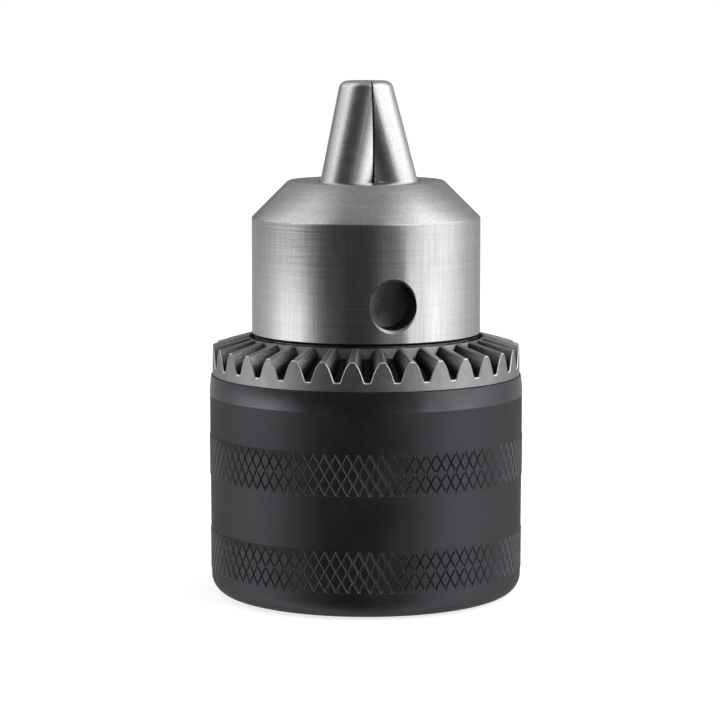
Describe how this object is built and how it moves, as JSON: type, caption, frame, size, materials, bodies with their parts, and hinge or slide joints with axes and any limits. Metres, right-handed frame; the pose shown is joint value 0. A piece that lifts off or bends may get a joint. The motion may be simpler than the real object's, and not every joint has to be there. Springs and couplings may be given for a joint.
{
  "type": "keyed drill chuck",
  "caption": "Keyed three-jaw drill chuck: turning the toothed, knurled sleeve drives inclined jaws that close on a round shank.",
  "frame": {"origin": "centre of the flat rear face of the chuck body, on the chuck axis", "axes": "+Z along the chuck axis from the rear face to the jaw tips, -Y through one of the key holes"},
  "size_m": [0.053, 0.053, 0.0868],
  "materials": {
    "chuck_body": "fine turned, bright",
    "jaws": "hardened, satin polished",
    "nut": "plain machined steel",
    "gear_ring": "matt grey, tooth edges worn bright",
    "knurled_sleeve": "black oxide, satin, two diamond knurled bands",
    "races": "ground steel",
    "ball_cage": "pressed steel",
    "balls": "polished steel"
  },
  "bodies": {
    "body": {"chuck_body": "chuck_body", "lower_race": "races"},
    "sleeve": {"knurled_sleeve": "knurled_sleeve", "gear_ring": "gear_ring", "nut_half_1": "nut", "nut_half_2": "nut", "upper_race": "races"},
    "jaw_1": {"jaw_1": "jaws"},
    "jaw_2": {"jaw_2": "jaws"},
    "jaw_3": {"jaw_3": "jaws"},
    "bearing_cage": {"ball_cage": "ball_cage", "ball_01": "balls", "ball_02": "balls", "ball_03": "balls", "ball_04": "balls", "ball_05": "balls", "ball_06": "balls", "ball_07": "balls", "ball_08": "balls", "ball_09": "balls", "ball_10": "balls", "ball_11": "balls", "ball_12": "balls", "ball_13": "balls", "ball_14": "balls", "ball_15": "balls", "ball_16": "balls", "ball_17": "balls", "ball_18": "balls", "ball_19": "balls", "ball_20": "balls", "ball_21": "balls", "ball_22": "balls", "ball_23": "balls", "ball_24": "balls"}
  },
  "joints": [
    {"name": "sleeve_turn", "type": "hinge", "parent": "body", "child": "sleeve", "pos_m": [0, 0, 0.0367], "axis": [0, 0, 1], "range_deg": [0, 3014]},
    {"name": "jaw_1_slide", "type": "slide", "parent": "body", "child": "jaw_1", "axis": [0, 0.2672, -0.9636], "range_m": [0, 0.02433]},
    {"name": "jaw_2_slide", "type": "slide", "parent": "body", "child": "jaw_2", "axis": [-0.2314, -0.1336, -0.9636], "range_m": [0, 0.02433]},
    {"name": "jaw_3_slide", "type": "slide", "parent": "body", "child": "jaw_3", "axis": [0.2314, -0.1336, -0.9636], "range_m": [0, 0.02433]},
    {"name": "cage_turn", "type": "hinge", "parent": "body", "child": "bearing_cage", "pos_m": [0, 0, 0.0317], "axis": [0, 0, 1], "range_deg": [0, 1508]}
  ],
  "couplings": [
    {"joint": "jaw_1_slide", "follows": "sleeve_turn", "m_per_rad": 0.00046245},
    {"joint": "jaw_2_slide", "follows": "sleeve_turn", "m_per_rad": 0.00046245},
    {"joint": "jaw_3_slide", "follows": "sleeve_turn", "m_per_rad": 0.00046245},
    {"joint": "cage_turn", "follows": "sleeve_turn", "ratio": 0.5}
  ]
}
